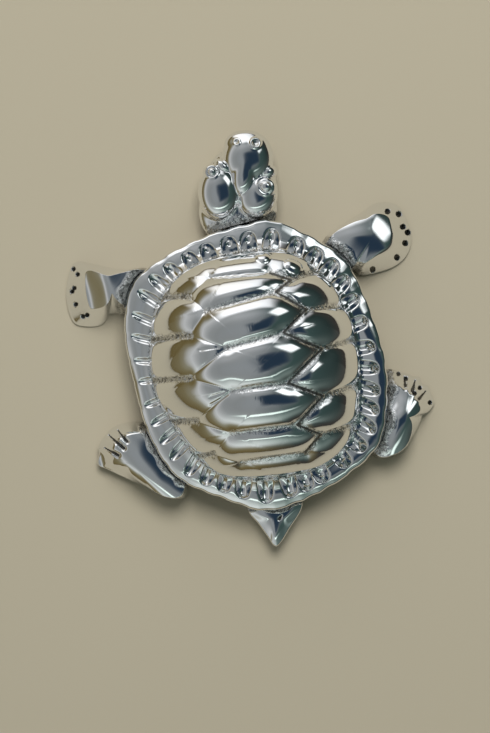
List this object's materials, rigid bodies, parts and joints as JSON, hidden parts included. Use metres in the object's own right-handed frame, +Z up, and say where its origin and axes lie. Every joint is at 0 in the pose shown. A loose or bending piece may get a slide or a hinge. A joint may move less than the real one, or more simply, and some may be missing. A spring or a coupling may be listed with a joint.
{
  "type": "turtle paperweight",
  "caption": "Polished cast aluminium turtle paperweight with a scuted dome shell, fluted rim, rigid limbs held between shell and belly plate, an inner weight and a felt foot.",
  "frame": {"origin": "on the desk, at the middle of the shell's plan, on the underside of the felt pad", "axes": "+Z up from the desk, +Y towards the head, +X towards the turtle's right side"},
  "size_m": [0.0889, 0.1045, 0.0291],
  "materials": {
    "polished_aluminium": "mirror polished on the high forms, rough as cast in the grooves and seams",
    "ballast_iron": "as cast",
    "felt": "pressed wool felt",
    "screw_steel": "plain zinc"
  },
  "bodies": {
    "root": {"carapace": "polished_aluminium", "plastron": "polished_aluminium", "head": "polished_aluminium", "front_left_leg": "polished_aluminium", "front_right_leg": "polished_aluminium", "rear_left_leg": "polished_aluminium", "rear_right_leg": "polished_aluminium", "tail": "polished_aluminium", "ballast": "ballast_iron", "felt_pad": "felt", "shell_screw_1": "screw_steel", "shell_screw_2": "screw_steel", "shell_screw_3": "screw_steel", "shell_screw_4": "screw_steel", "head_screw": "screw_steel", "front_left_leg_screw": "screw_steel", "front_right_leg_screw": "screw_steel", "rear_left_leg_screw": "screw_steel", "rear_right_leg_screw": "screw_steel", "tail_screw": "screw_steel"}
  },
  "joints": []
}
